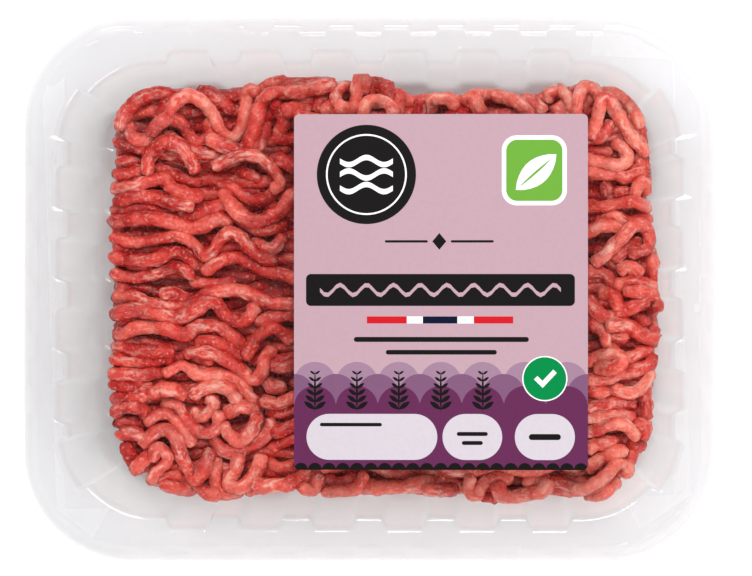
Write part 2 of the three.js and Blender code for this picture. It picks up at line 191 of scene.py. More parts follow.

# Strands in sight beside the label: stacking level, which also paints higher strands lighter and lower
# ones in painted shade, then x and y of the points of the path
TOP_STRANDS = [
    (2, -84, 54.5, -83.5, 59, -81, 62.5, -76, 65, -71, 66, -67.5, 64.5, -69.5, 60.5, -70.5, 57),
    (0, -81, 58.5, -77, 59.5, -73, 60),
    (1, -81.5, 54.5, -80, 51, -77.5, 50, -74.5, 51, -71.5, 55.5),
    (0, -86, 56, -84.5, 53.5, -82.5, 51),
    (0, -86, 49.5, -81.5, 48.5, -76.5, 47),
    (3, -67, 58.5, -65, 62.5, -61.5, 65, -58, 64, -55, 61, -52.5, 57, -50.5, 53, -48, 51, -45.5, 51.5,
     -43.5, 55, -42.5, 61, -41.5, 67, -38.5, 66),
    (3, -54, 50, -49, 47.5, -44, 46.5, -40.5, 49, -39, 52.5, -38, 57.5, -36.5, 62.5, -33, 65.5, -29, 66,
     -24, 66, -17.5, 67, -13, 68.5),
    (2, -73.5, 52, -71, 55, -67.5, 57, -64.5, 56, -61.5, 52.5, -58.5, 49.5, -55.5, 50.5, -54, 53.5, -54.5,
     56.5),
    (1, -69, 52, -65.5, 50, -61.5, 47.5, -56, 45.5, -50.5, 45),
    (2, -75, 39, -74.5, 43.5, -72, 47, -68, 49, -63.5, 47.5, -60.5, 44, -59, 40),
    (3, -52, 41.5, -46.5, 44, -41, 45, -36, 43.5, -32.5, 40, -30.5, 36, -32.5, 34),
    (2, -51, 35, -47, 34, -43.5, 31.5, -39, 30, -35, 31, -33, 32.5),
    (2, -50, 32, -46.5, 28, -42.5, 24, -37.5, 22.5, -32.5, 25, -29, 28.5, -26.5, 31.5),
    (1, -72, 40.5, -68, 39.5, -63.5, 37, -58.5, 36),
    (0, -87, 42.5, -81.5, 43, -76, 42.5),
    (0, -86.5, 39, -82, 38.5, -77.5, 39.5),
    (1, -85, 33.5, -79.5, 34.5, -74.5, 36, -70, 37, -67.5, 34.5, -63.5, 32, -57.5, 31.5),
    (1, -85.5, 29.5, -79, 31, -72, 30.5, -67, 29, -60.5, 27.5),
    (0, -86, 26.5, -81, 27, -75, 27, -69, 25.5, -63, 24.5, -57.5, 25, -53, 27.5, -48.5, 27.5, -45.5, 24.5,
     -41, 21.5, -36, 20, -29.5, 21.5),
    (1, -85.5, 23, -79.5, 23.5, -74, 23.5, -68, 22.5, -62, 21, -56, 21.5, -51, 23.5, -47.5, 22.5),
    (2, -87.5, 17.5, -81, 16, -75.5, 16, -69.5, 17.5, -64.5, 18, -60, 15.5, -56.5, 11.5, -53.5, 12.5, -51,
     16.5, -47, 19, -43.5, 17.5, -40, 13, -36.5, 10.5, -32.5, 10),
    (1, -88.5, 11.5, -83, 10, -76.5, 10, -71.5, 10, -66.5, 12.5, -62, 11.5, -59.5, 8),
    (1, -87, 5.5, -80.5, 4, -74, 5, -68, 6.5, -63, 7, -60.5, 4.5),
    (1, -55.5, 6.5, -51, 9, -46, 10.5, -41, 9, -36, 6.5, -29, 4.5, -24.5, 3),
    (1, -39.5, 16.5, -36, 14, -32.5, 14, -30, 17.5),
    (0, -57, 67, -54, 65.5, -51, 63, -48, 60.5),
    (1, -37, 67.5, -33.5, 70, -29.5, 70.5, -24.5, 70, -18.5, 70, -14, 69),
    (0, -38, 47.5, -36, 52.5, -36, 57, -33.5, 59),
    (0, -31, 52.5, -29.5, 56, -30, 59.5, -32, 61.5),
    (0, -33.5, 43.5, -29.5, 43, -25.5, 41),
    (0, -46.5, 40, -42, 39.5, -38, 37),
    (0, -60, 2.5, -54, 1.5, -46.5, 2.5),
    (2, -87.5, -3, -81, -2.5, -75.5, -4, -70.5, -5.5, -65.5, -6, -60, -4.5, -55, -1.5, -51, -0.5, -44.5,
     -0.5, -39.5, -2, -33.5, -4.5, -26.5, -5),
    (2, -69.5, -2, -66, -1.5, -63, -3),
    (2, -87.5, -9, -82, -7.5, -77, -7, -71, -8.5, -65.5, -9.5, -59.5, -7.5, -55, -4.5, -52, -5, -49, -8.5,
     -45, -10.5, -41, -9.5, -39, -6),
    (2, -84.5, -15.5, -79.5, -13, -74.5, -12.5, -68.5, -13, -62.5, -15, -59.5, -13, -55, -12.5, -50,
     -13.5, -46, -16, -42, -20),
    (1, -85, -19.5, -79.5, -20.5, -74, -21, -67.5, -20.5),
    (0, -86.5, -23.5, -80, -24.5, -73, -24, -67.5, -23),
    (1, -58, -17.5, -53, -18, -48.5, -19.5, -44.5, -22.5),
    (2, -62.5, -21.5, -57, -21, -52, -22, -47, -24.5, -42, -28.5, -39, -30.5, -36.5, -27, -36, -23, -34,
     -20.5),
    (2, -42, -22, -39.5, -18.5, -37.5, -15, -34, -13, -30, -14.5, -27, -17),
    (1, -87, -28.5, -80.5, -29, -74.5, -28.5, -71, -28),
    (2, -69, -28, -64.5, -25.5, -61, -27, -57.5, -29, -52.5, -28.5, -47.5, -29, -44, -31.5, -41.5, -35.5,
     -40, -37.5),
    (3, -60, -35.5, -56, -33, -51, -32.5, -47.5, -34, -45, -37),
    (1, -73.5, -35.5, -70.5, -33.5, -66.5, -33.5, -63.5, -35.5),
    (2, -59.5, -41, -57.5, -43, -54.5, -41, -53, -38, -55, -37),
    (2, -69.5, -38, -66, -39, -63.5, -42, -60, -46.5, -56, -48.5, -52, -46.5, -51, -42),
    (2, -75.5, -44.5, -71, -42, -67, -43, -63.5, -47, -60, -51.5),
    (2, -48, -41, -43.5, -39.5, -39, -40.5),
    (3, -49, -45.5, -47.5, -48.5, -44, -50.5, -40.5, -47, -37.5, -42.5),
    (1, -53, -50.5, -50.5, -54, -46, -54.5, -41, -53, -37, -50, -33.5, -46.5, -34.5, -44.5),
    (1, -87.5, -41.5, -82.5, -39.5, -77, -40.5, -75.5, -42.5),
    (1, -87, -49, -81.5, -48, -77, -49),
    (0, -88, -32, -81.5, -33, -75, -32.5),
    (0, -87.5, -36.5, -81.5, -37, -76, -35.5),
    (0, -87, -45, -82.5, -44.5, -78, -45.5),
    (2, -76, -51.5, -72.5, -48, -68.5, -47, -65, -50.5, -63.5, -56.5, -61, -62, -58.5, -64, -56, -59.5,
     -54, -54.5),
    (2, -73, -56.5, -72, -53, -69.5, -54, -68.5, -57.5, -72, -61.5, -74.5, -65.5),
    (1, -81, -62.5, -77, -58, -73.5, -54.5),
    (0, -85, -53, -83.5, -57.5, -80, -59),
    (0, -74.5, -66, -70, -64, -65.5, -62.5),
    (0, -71, -67.5, -65.5, -68.5, -61, -67.5),
    (0, -53, -57.5, -52.5, -62.5, -52, -67.5, -49.5, -70, -44.5, -70),
    (1, -44.5, -56.5, -46, -61, -48, -65, -44.5, -66.5, -41, -65, -38.5, -61, -37, -56.5),
    (0, -58.5, -66, -55.5, -68.5, -52, -70),
    (0, -34.5, -58.5, -31, -60, -25.5, -59),
    (1, -38, -65, -32.5, -66.5, -27, -65, -21, -62),
    (0, -41.5, -69.5, -34.5, -69.5, -27, -68.5),
    (1, -33.5, -53, -30, -51.5, -25, -49.5),
    (1, -32.5, -48, -29, -46.5, -25, -45),
    (1, -36, -38, -31, -38, -25.5, -35.5),
    (0, -34.5, -41.5, -29.5, -40.5, -25.5, -39),
    (1, -35.5, -30.5, -33.5, -33, -30, -33.5),
    (1, -33.5, -25.5, -29, -26, -25, -24.5),
    (1, -38.5, -10.5, -32.5, -9.5, -26.5, -8.5),
    (2, 76, 65, 80.5, 66.5, 85.5, 65, 89, 62.5, 91, 58.5, 90.5, 55),
    (3, 73.5, 51, 75.5, 57, 76.5, 62.5, 78, 64, 80.5, 61.5, 83.5, 56.5, 87, 51, 90.5, 47.5, 92.5, 45.5),
    (2, 69, 67, 71.5, 68.5, 74.5, 67, 73.5, 64.5, 71, 61.5),
    (1, 73, 49, 76.5, 51, 79, 53.5, 80, 55.5),
    (0, 90, 54.5, 93.5, 52.5, 92.5, 49.5),
    (2, 72, 43.5, 77, 42.5, 82, 41.5, 85.5, 43.5, 85, 47, 82, 49.5),
    (1, 72.5, 40, 77.5, 38.5, 82, 39, 85, 37.5, 89, 38.5, 93, 39, 94, 36),
    (0, 89.5, 45, 92.5, 43.5, 93.5, 41),
    (1, 87.5, 30, 89, 34, 91, 36, 92.5, 32.5),
    (0, 78, 35, 80, 30.5),
    (0, 82, 32.5, 86, 32.5),
    (2, 72, 28, 78, 27.5, 83, 29, 88, 29, 93, 27.5),
    (1, 76, 23, 80.5, 25, 83.5, 23.5, 86, 23, 90, 24, 94, 24),
    (2, 72, 19, 77, 21, 82, 20.5, 84, 18),
    (2, 74.5, 9, 78, 11.5, 80.5, 14, 84, 17.5, 88, 21, 91.5, 21, 93.5, 16.5, 91.5, 13, 87, 12),
    (0, 81.5, 10, 85, 13.5, 89.5, 16.5),
    (1, 93.5, 12.5, 96, 9, 96, 3),
    (1, 72.5, 6.5, 78, 5, 81.5, 1.5),
    (1, 83.5, 6.5, 86.5, 7.5, 89.5, 5.5),
    (1, 82.5, 1.5, 88, 2.5, 94.5, 0.5),
    (2, 72, -3.5, 75.5, -7.5, 79.5, -9.5, 84.5, -7, 89, -5, 92, -4),
    (2, 77.5, -1, 81.5, -3, 82.5, -6),
    (1, 85, -0.5, 90, -1, 95, -2, 96.5, -6),
    (0, 88, -8.5, 92, -11),
    (2, 79.5, -12, 84.5, -12, 88, -13.5, 92.5, -16, 95.5, -17),
    (1, 73.5, -11, 77.5, -14.5, 78.5, -18.5, 81.5, -20.5),
    (0, 80.5, -15.5, 84.5, -16),
    (2, 72, -24, 77, -22.5, 81.5, -22, 83.5, -24, 81.5, -26, 76, -26.5),
    (1, 85, -24, 89, -22, 93, -20),
    (1, 83.5, -28, 88, -27, 92.5, -25.5, 94.5, -23),
    (1, 72.5, -30.5, 77.5, -30, 81.5, -28.5, 83.5, -27.5),
    (0, 72.5, -34, 77.5, -34.5, 80.5, -33.5),
    (2, 81.5, -33, 84.5, -34.5, 88, -34.5, 91.5, -31.5, 94, -28.5),
    (1, 72.5, -40, 77.5, -39, 82.5, -38, 87.5, -38.5),
    (1, 72.5, -43, 77.5, -43, 82.5, -42, 87.5, -42.5),
    (2, 72.5, -48, 78, -46, 82, -45, 85.5, -46, 88.5, -49),
    (0, 90, -36.5, 93.5, -39, 92.5, -42.5),
    (0, 86.5, -51, 90, -52.5, 92.5, -52),
    (1, 72.5, -53, 77.5, -51.5, 81, -50.5),
    (1, 72.5, -59, 77.5, -56.5, 81.5, -54, 85, -54),
    (2, 68, -67, 70.5, -66.5, 74.5, -64.5, 79, -61.5, 83, -58, 86.5, -60.5, 88, -64),
    (1, 73.5, -69, 80, -70, 84.5, -68),
    (0, 88.5, -44.5, 92.5, -46.5, 92, -50),
    (0, -28, 59.5, -24.5, 60.5, -21, 59.5),
    (0, -17.5, 60, -17, 63.5, -14.5, 66),
    (1, -15, 59, -13, 60.5, -11, 58.5),
    (1, -11.5, 60.5, -11.5, 65.5, -9.5, 68, -6, 67.5),
    (2, -10.5, 60, -7, 60, -5, 63.5, -4.5, 68, -3.5, 72.5, -2.5, 69.5, -3, 66),
    (1, -1.5, 64.5, -1, 69, 1, 70.5, 4, 69, 6, 66, 7.5, 64),
    (2, -3, 58, -1.5, 61.5, 2, 63, 6, 62, 8, 58.5),
    (1, 9.5, 59.5, 9.5, 63.5, 10, 67),
    (1, 16, 58.5, 16.5, 63, 19, 64),
    (1, 20, 60, 20.5, 63.5, 23, 64.5, 26, 63.5, 28, 60),
    (0, 28.5, 59, 28, 64),
    (2, 31, 63.5, 35, 61.5, 37, 58.5),
    (2, 36, 58.5, 35, 62.5, 34.5, 65.5, 37, 66.5, 41.5, 65, 46, 63.5, 49.5, 61.5, 53, 58.5),
    (1, 51, 63, 53.5, 62.5, 57.5, 59.5),
    (2, 59, 63, 59.5, 68.5, 61.5, 70.5, 63.5, 66.5, 66, 63, 66.5, 59.5),
    (2, 68.5, 58.5, 69, 63.5, 70.5, 67, 73, 67.5, 75.5, 65.5, 76.5, 63),
    (1, 62, 59.5, 64, 61.5, 66, 59.5),
    (0, -32, -66.5, -26.5, -65, -22, -63.5),
    (1, -22.5, -66, -19, -67, -17.5, -62.5),
    (1, -15.5, -68, -11.5, -70, -7.5, -69, -4, -66, -2, -62),
    (0, -14.5, -63.5, -10.5, -65, -6, -63.5),
    (0, -3, -67, 1, -69.5, 8.5, -69.5, 12.5, -68.5, 18.5, -67, 23, -63.5),
    (0, -1.5, -65.5, 4, -66.5, 9, -66.5, 14.5, -65, 20, -64),
    (0, 18.5, -67.5, 21.5, -69, 25.5, -68.5, 27.5, -67),
    (1, 33, -63, 32.5, -66, 33.5, -69, 36.5, -70),
    (1, 35.5, -68, 37.5, -65, 41, -63, 46, -63),
    (0, 37.5, -70, 43, -71.5, 49.5, -72.5, 55, -71.5, 60.5, -70, 66.5, -68.5),
    (2, 42, -65.5, 43.5, -68.5, 48, -70, 53.5, -69.5, 57.5, -67, 59, -64.5),
    (0, 51.5, -64.5, 55, -64, 58.5, -64),
    (1, 60.5, -64.5, 64.5, -65, 69, -66.5, 75, -66, 78.5, -63),
    (0, 72, -69.5, 76.5, -71, 78.5, -70),
]


# Meshes


def mesh_piece(name, points_mm, faces, materials, smooth=True, face_materials=None):
    mesh = bpy.data.meshes.new(name)
    mesh.from_pydata((np.asarray(points_mm) * MM).tolist(), [], faces)
    for material in materials:
        mesh.materials.append(material)
    if face_materials is not None:
        mesh.polygons.foreach_set("material_index", np.asarray(face_materials, np.int32))
    mesh.polygons.foreach_set("use_smooth", np.full(len(mesh.polygons), smooth))
    mesh.validate()
    mesh.update()
    return placed(name, mesh)


def placed(name, data):
    """A new object in the scene with its mesh, lamp or camera."""
    thing = bpy.data.objects.new(name, data)
    bpy.context.scene.collection.objects.link(thing)
    return thing


def shown(piece, node):
    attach(piece, "root")
    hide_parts(node)


def stacked_faces(count, levels):
    """Quads between rings of count points, stacked upwards, and a cap at either end."""
    first = np.arange(count)
    following = (first + 1) % count
    faces = []
    for low in range(0, count * (levels - 1), count):
        quads = [low + first, low + following, low + count + following, low + count + first]
        faces += np.column_stack(quads).tolist()
    faces.append(list(range(count - 1, -1, -1)))
    faces.append(list(range(count * (levels - 1), count * levels)))
    return faces


def unit(vectors):
    return vectors / (np.linalg.norm(vectors, axis=-1, keepdims=True) + 1e-9)


# Outlines


def smoothstep(value):
    value = np.clip(value, 0.0, 1.0)
    return value * value * (3 - 2 * value)


def rounded_step(value):
    """Rises steeply after 0 and turns round to level at 1."""
    return smoothstep(value) ** 0.6


def centred(count, pitch):
    return (np.arange(count) - (count - 1) / 2) * pitch


SIDE_NORMALS = np.array([(1, 0), (0, 1), (-1, 0), (0, -1)], float)


def ring_stations():
    """Starting points inside the cavity and headings outwards, shared by every ring."""
    straight = (MOUTH_HALF[0] - MOUTH_RADIUS, MOUTH_HALF[1] - MOUTH_RADIUS)
    starts, headings = [], []
    for index, facing in enumerate(SIDE_NORMALS):
        tangent = np.array([-facing[1], facing[0]])
        reach, length = straight if index % 2 == 0 else straight[::-1]
        along = np.linspace(-length, length, int(2 * length / RING_STEP), endpoint=False)
        turn = np.radians(np.arange(0, 90, RING_TURN))
        starts.append(facing * reach + tangent * along[:, None])
        headings.append(np.tile(facing, (len(along), 1)))
        starts.append(np.tile(facing * reach + tangent * length, (len(turn), 1)))
        headings.append(facing * np.cos(turn)[:, None] + tangent * np.sin(turn)[:, None])
    return np.concatenate(starts), np.concatenate(headings)


STATIONS = ring_stations()


def signed_reach(xy, half, radius):
    """Distance outside a rounded rectangle, and its outward direction."""
    q = np.abs(xy) - (np.asarray(half) - radius)
    outside = np.maximum(q, 0)
    length = np.linalg.norm(outside, axis=1)
    distance = length + np.minimum(q.max(1), 0) - radius
    direction = np.where(
        length[:, None] > 1e-6,
        outside / np.maximum(length, 1e-6)[:, None],
        (q == q.max(1)[:, None]).astype(float),
    )
    return distance, direction * np.sign(xy)


def side_positions(xy, normal):
    """For each side: whether it is long, which points lie on it, and how far along it they are."""
    for index, facing in enumerate(SIDE_NORMALS):
        at = normal @ facing > 0.9999
        yield index % 2 == 1, at, xy[at] @ np.array([-facing[1], facing[0]])


def flute_profile(xy, normal, depth):
    """How far flutes and corner pockets push the cavity outwards at each point."""
    out = np.zeros(len(xy))
    for is_long, at, along in side_positions(xy, normal):
        count, pitch, shift = FLUTES["long" if is_long else "short"]
        for middle in centred(count, pitch) + shift:
            edge = (FLUTE_HALF - np.abs(along - middle)) / FLUTE_BEVEL
            out[at] = np.maximum(out[at], depth * rounded_step(edge))
    turned = np.degrees(np.arctan2(np.abs(normal[:, 1]), np.abs(normal[:, 0])))
    low = smoothstep((turned - POCKET_ANGLES[0]) / POCKET_BLEND)
    high = smoothstep((POCKET_ANGLES[1] - turned) / POCKET_BLEND)
    return np.maximum(out, POCKET_DEPTH * depth / FLUTE_DEPTH * low * high)


def notch_profile(xy, normal, depth):
    """How far the notches push the rim inwards at each point."""
    out = np.zeros(len(xy))
    for is_long, at, along in side_positions(xy, normal):
        count = LONG_SIDE_NOTCHES if is_long else SHORT_SIDE_NOTCHES
        for middle in centred(count, NOTCH_PITCH):
            edge = (NOTCH_HALF + NOTCH_SLOPE - np.abs(along - middle)) / NOTCH_SLOPE
            out[at] = np.maximum(out[at], depth * smoothstep(edge))
    return out


def ring(half, radius, z, outset):
    """One closed ring of points: a rounded rectangle with an outset along its normals."""
    starts, headings = STATIONS
    reach = np.zeros(len(starts))
    for _ in range(RING_ROUNDS):
        distance, normal = signed_reach(starts + headings * reach[:, None], half, radius)
        reach -= distance
    xy = starts + headings * reach[:, None]
    xy += normal * outset(xy, normal)[:, None]
    return np.column_stack([xy, np.full(len(xy), z)])


def cavity_ring(z, grow):
    """Ring of the cavity skin at height z, moved outwards by grow."""
    offset = grow - (HEIGHT - z) * DRAFT
    depth = np.interp(z, [0, HEIGHT], [FLUTE_DEPTH_AT_FLOOR, FLUTE_DEPTH])
    half = (MOUTH_HALF[0] + offset, MOUTH_HALF[1] + offset)
    outset = lambda xy, normal: flute_profile(xy, normal, depth)
    return ring(half, MOUTH_RADIUS + offset, z, outset)


def rim_ring(z, inset, notch):
    """Ring of the rim at height z, moved inwards by inset, with notches of a depth."""
    half = (RIM_HALF[0] - inset, RIM_HALF[1] - inset)
    outset = lambda xy, normal: -notch_profile(xy, normal, notch)
    return ring(half, RIM_RADIUS - inset, z, outset)


def skin_profile(grow, floor):
    """Rings of one face of the cup, from the floor to just under the mouth."""
    rings = [cavity_ring(floor, grow - FLOOR_RADIUS * k) for k in (3.0, 1.6)]
    for turn in BEND_TURNS:
        z = floor + FLOOR_RADIUS * (1 - math.cos(turn))
        rings.append(cavity_ring(z, grow - FLOOR_RADIUS * (1 - math.sin(turn))))
    for z in np.linspace(floor + FLOOR_RADIUS, HEIGHT - MOUTH_ROUND - 1, 4)[1:]:
        rings.append(cavity_ring(z, grow))
    return rings


def rounded_mouth(grow, radius, top):
    """Rings that turn from the wall into the flat rim."""
    return [
        cavity_ring(top - radius * (1 - math.sin(turn)), grow + radius * (1 - math.cos(turn)))
        for turn in BEND_TURNS
    ]


def tray_piece(material):
    inner = skin_profile(0.0, SHEET) + rounded_mouth(0.0, MOUTH_ROUND, HEIGHT)
    lip = [
        rim_ring(HEIGHT - drop, LIP_FLARE * flare + further_in, NOTCH_DEPTH * notch)
        for drop, flare, further_in, notch in LIP_RINGS
    ]
    outer = skin_profile(SHEET, 0.0) + rounded_mouth(SHEET, MOUTH_ROUND * 0.5, HEIGHT - SHEET)
    rings = inner + lip + outer[::-1]
    faces = [face[:1] + face[:0:-1] for face in stacked_faces(len(rings[0]), len(rings))]
    shown(mesh_piece("tray_shell", np.concatenate(rings), faces, [material]), "tray")


# Meat strands


def smooth_noise(random, count, step, amount):
    """A slow random wander of count samples, with one knot every step samples."""
    knots = random.uniform(-1, 1, max(int(count / step) + 3, 4))
    at = np.linspace(0, len(knots) - 2.001, count)
    low = at.astype(int)
    return amount * (knots[low] + (knots[low + 1] - knots[low]) * smoothstep(at - low))


def curve_through(points, spacing):
    """Catmull-Rom curve through the points, resampled to an even spacing."""
    points = np.asarray(points, float)
    padded = np.vstack([2 * points[0] - points[1], points, 2 * points[-1] - points[-2]])
    a, b, c, d = padded[:-3], padded[1:-2], padded[2:-1], padded[3:]
    t = np.linspace(0, 1, 14, endpoint=False)[None, :, None]
    a, b, c, d = (q[:, None, :] for q in (a, b, c, d))
    dense = 0.5 * (2 * b + (c - a) * t + (2 * a - 5 * b + 4 * c - d) * t**2
                   + (3 * b - a - 3 * c + d) * t**3)
    dense = np.vstack([dense.reshape(-1, points.shape[1]), points[-1]])
    lengths = np.r_[0, np.cumsum(np.linalg.norm(np.diff(dense, axis=0), axis=1))]
    count = max(int(lengths[-1] / spacing) + 1, 4)
    even = np.linspace(0, lengths[-1], count)
    return np.column_stack([np.interp(even, lengths, dense[:, k]) for k in range(points.shape[1])])


def blurred(values, sigma):
    """The values smoothed by a bell curve, sigma samples wide."""
    reach = max(int(3 * sigma), 1)
    kernel = np.exp(-0.5 * (np.arange(-reach, reach + 1) / sigma) ** 2)
    kernel /= kernel.sum()
    return np.convolve(np.pad(values, reach, mode="edge"), kernel, mode="valid")


class Pile:
    """Height map that strands are laid on, one after the other."""

    def __init__(self, top):
        self.height = np.full((np.array(PILE_SIZE) / CELL).astype(int), top)

    def footprint(self, path, radius):
        reach = int(radius / CELL)
        steps = np.arange(-reach, reach + 1)
        dx, dy = (g.ravel() for g in np.meshgrid(steps, steps))
        rise2 = radius**2 - (dx**2 + dy**2) * CELL**2
        keep = rise2 > 0
        cell = ((path - PILE_CORNER) / CELL).astype(int)
        cx = np.clip(cell[:, :1] + dx[keep], 0, self.height.shape[0] - 1)
        cy = np.clip(cell[:, 1:] + dy[keep], 0, self.height.shape[1] - 1)
        return cx, cy, np.sqrt(rise2[keep])

    def lay(self, path, radius, spacing, give=0.7):
        """Height of the strand's centre along its path, where it comes to rest."""
        cx, cy, rise = self.footprint(path, radius * SQUASH)
        rest = (self.height[cx, cy] + rise).max(1)
        eased = blurred(rest, 2.6 / spacing)
        eased = blurred(np.maximum(eased, rest - give), 1.1 / spacing)
        np.maximum.at(self.height, (cx, cy), eased[:, None] + rise)
        return eased


def with_tips(centres, radii):
    """A strand's line and radii with two short steps more at either end, which round it off."""
    behind = unit(centres[0] - centres[1]) * radii[0]
    ahead = unit(centres[-1] - centres[-2]) * radii[-1]
    line = [*(centres[0] + behind * reach for reach, _ in TIP[::-1]), *centres,
            *(centres[-1] + ahead * reach for reach, _ in TIP)]
    size = [*(radii[0] * share for _, share in TIP[::-1]), *radii,
            *(radii[-1] * share for _, share in TIP)]
    return np.array(line), np.array(size)


def tubes(strands, sides):
    """Points, quads, tones and grain coordinates of many strands, each (centres, radii, tone)."""
    parts = []
    base = 0
    around = np.linspace(0, 2 * math.pi, sides, endpoint=False)
    circle = np.column_stack([np.cos(around), np.sin(around)])
    for centres, radii, tone_and_shade in strands:
        line, size = with_tips(centres, radii)
        along = unit(np.gradient(line, axis=0))
        across = np.cross(along, [0.0, 0.0, 1.0])
        across[np.linalg.norm(across, axis=1) < 0.2] = [0.3, 1.0, 0.0]
        across = unit(across - along * (across * along).sum(1)[:, None])
        for k in range(1, len(across)):
            if (across[k] * across[k - 1]).sum() < 0:
                across[k] *= -1
        lift = np.cross(across, along)
        offset = circle * size[:, None, None]
        points = line[:, None] + across[:, None] * offset[..., :1] + lift[:, None] * offset[..., 1:]
        tones = np.repeat(np.pad(tone_and_shade, len(TIP), mode="edge"), sides)
        travelled = np.r_[0, np.cumsum(np.linalg.norm(np.diff(line, axis=0), axis=1))]
        travelled += GRAIN_SHIFT * (len(parts) + 1)
        grains = np.column_stack([np.repeat(travelled, sides), offset.reshape(-1, 2)])
        grid = base + np.arange(len(line) * sides).reshape(-1, sides)
        nxt = np.roll(grid, -1, axis=1)
        quads = np.stack([grid[:-1], nxt[:-1], nxt[1:], grid[1:]], -1).reshape(-1, 4)
        base += len(line) * sides
        parts.append((points.reshape(-1, 3), quads, tones, grains))
    return [np.concatenate(part) for part in zip(*parts)]


def lumps(points, random, amount, wavelength):
    """A cheap smooth noise in space from a few crossed waves."""
    total = np.zeros(len(points))
    for _ in range(9):
        wave = random.normal(size=3)
        wave *= 2 * math.pi / wavelength / np.linalg.norm(wave) * random.uniform(0.7, 1.4)
        total += np.sin(points @ wave + random.uniform(0, 6.28))
    return amount * total / 3


def flute_room(xy, z):
    """Extra room that a flute gives at each point near a straight wall."""
    depth = np.interp(z, [0, HEIGHT], [FLUTE_DEPTH_AT_FLOOR, FLUTE_DEPTH])
    room = np.zeros(len(xy))
    for axis, kind in ((0, "short"), (1, "long")):
        count, pitch, shift = FLUTES[kind]
        near = np.abs(xy[:, axis]) > MOUTH_HALF[axis] - 10
        turn = np.sign(xy[:, axis])
        along = xy[:, 1 - axis] * (turn if axis == 0 else -turn)
        for middle in centred(count, pitch) + shift:
            edge = (FLUTE_HALF - 0.6 - np.abs(along - middle)) / FLUTE_BEVEL
            room = np.where(near, np.maximum(room, depth * smoothstep(edge)), room)
    return room


def kept_inside(points):
    """Presses the points back inside the tray, a hair off its wall and floor."""
    xy = points[:, :2]
    z = np.clip(points[:, 2], SHEET + OFF_FLOOR, HEIGHT - 2)
    inset = (HEIGHT - z) * DRAFT + OFF_WALL
    low = np.clip((SHEET + FLOOR_RADIUS - z) / FLOOR_RADIUS, 0, 1)
    inset += FLOOR_RADIUS * (1 - np.sqrt(1 - low**2 * 0.98))
    distance, direction = signed_reach(xy, MOUTH_HALF, MOUTH_RADIUS)
    over = np.maximum(distance + inset - flute_room(xy, z), 0)
    return np.column_stack([xy - direction * over[:, None], z])


def meat_outline(inset, count=720):
    """Middle line of the heap's outermost strands, the ways out of it, and its length."""
    curve = curve_through(HEAP_EDGE[-2:] + HEAP_EDGE + HEAP_EDGE[:3], EDGE_STEP)
    from_first = np.linalg.norm(curve - HEAP_EDGE[0], axis=1)
    half = len(curve) // 2
    closed = curve[from_first[:half].argmin():half + from_first[half:].argmin()]
    length = EDGE_STEP * len(closed)
    closed = closed[(np.arange(count) * len(closed) / count).astype(int)]
    along = np.roll(closed, -2, axis=0) - np.roll(closed, 2, axis=0)
    outward = np.column_stack([along[:, 1], -along[:, 0]])
    outward /= np.linalg.norm(outward, axis=1)[:, None]
    return closed - outward * (STRAND_RADIUS + inset), outward, length


EDGE, EDGE_OUT, _ = meat_outline(0.0)


def edge_reach(xy):
    """How far points lie outside the middle line of the outermost strands, and the ways out."""
    nearest = ((xy[:, None, :] - EDGE) ** 2).sum(2).argmin(1)
    return ((xy - EDGE[nearest]) * EDGE_OUT[nearest]).sum(1), EDGE_OUT[nearest]


def pressed(path, inset):
    """Keeps a path at least an inset inside the outermost strands."""
    reach, outward = edge_reach(path)
    return path - outward * np.maximum(reach + inset, 0)[:, None]


def row_span(y, inset):
    """Left and right ends of a row of strands inside the heap's edge."""
    near = EDGE[np.abs(EDGE[:, 1] - y) < 2.0, 0]
    return near.min() + inset, near.max() - inset


def strand_of(centres, random, radius, tone_and_shade, spacing):
    """A strand with its radius and tone wandering along it."""
    count = len(centres)
    radii = radius * (1 + smooth_noise(random, count, 7 / spacing, 0.1)
                      + smooth_noise(random, count, 2.6 / spacing, 0.07))
    shade = np.clip(tone_and_shade + smooth_noise(random, count, 9 / spacing, 0.3), 0, 1)
    return centres, radii, shade


def turned_down(path, heights, spacing, random):
    """Lets strands that reach the heap's edge bend over it and hang down the side."""
    centres = np.column_stack([path, heights])
    for end, before in ((0, 1), (-1, -2)):
        reach, direction = edge_reach(path[end][None])
        outward = (unit(path[end] - path[before]) * direction[0]).sum()
        if reach[0] < -HANG_REACH or outward < HANG_HEADING or random.random() < HANG_SPARED:
            continue
        drop = random.uniform(*HANG_DROP)
        turns = np.linspace(0, 1, max(int(drop / spacing), 5))[1:]
        out = np.minimum(turns * 3.0, 1.0) * max(0.3 - reach[0], 0.3)
        over = path[end] + direction[0] * out[:, None]
        tail = np.column_stack([over, heights[end] - drop * turns**1.4])
        centres = np.vstack([tail[::-1], centres]) if end == 0 else np.vstack([centres, tail])
    return centres


def tucked(heights, spacing, random):
    """Dips most strand ends under their neighbours."""
    along = np.arange(len(heights)) * spacing
    for distance in (along, along[-1] - along):
        if random.random() < TUCK_SHARE:
            dip = random.uniform(*TUCK_DEPTH)
            heights = heights - dip * smoothstep(1 - distance / TUCK_LENGTH)
    return heights


def painted_light(place):
    """How much painted light lifts the meat at a place in the heap."""
    return sum(more for axis, sign, start, more in PAINTED_LIGHT_EDGES if place[axis] * sign > start)


